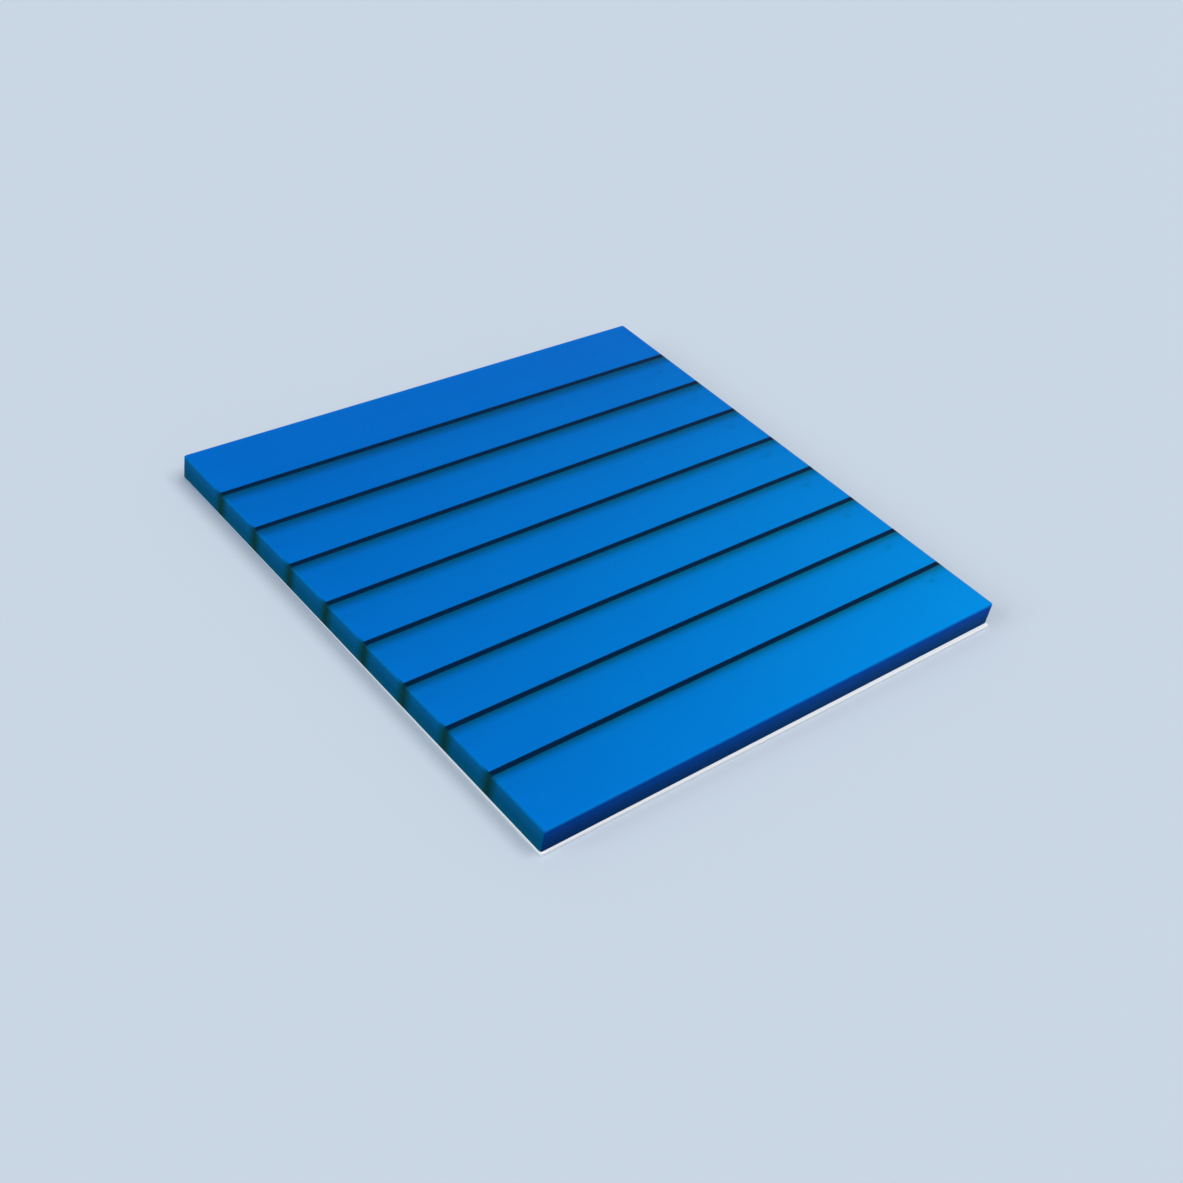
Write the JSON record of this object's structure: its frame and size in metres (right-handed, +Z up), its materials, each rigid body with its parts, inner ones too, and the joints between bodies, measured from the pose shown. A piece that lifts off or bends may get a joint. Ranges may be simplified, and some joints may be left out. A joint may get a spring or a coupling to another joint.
{
  "type": "transparent sticky note pad",
  "caption": "Square pad of tinted transparent film notes with black ruled lines across every sheet, on a thin white backing card.",
  "frame": {"origin": "centre of the pad's box, on the surface that the backing card rests on", "axes": "+X along the ruled lines to the right of the page, +Y to the top of the page, +Z up out of the writing face"},
  "size_m": [0.0752, 0.0754, 0.0038],
  "materials": {
    "blue_film": "smooth, satin sheen, see-through tinted film",
    "black_ink": "printed ink, satin",
    "white_card": "coated white card, matt"
  },
  "bodies": {
    "root": {"film_sheets": "blue_film", "backing_card": "white_card", "ruled_line_1": "black_ink", "ruled_line_2": "black_ink", "ruled_line_3": "black_ink", "ruled_line_4": "black_ink", "ruled_line_5": "black_ink", "ruled_line_6": "black_ink", "ruled_line_7": "black_ink", "ruled_line_8": "black_ink"}
  },
  "joints": []
}
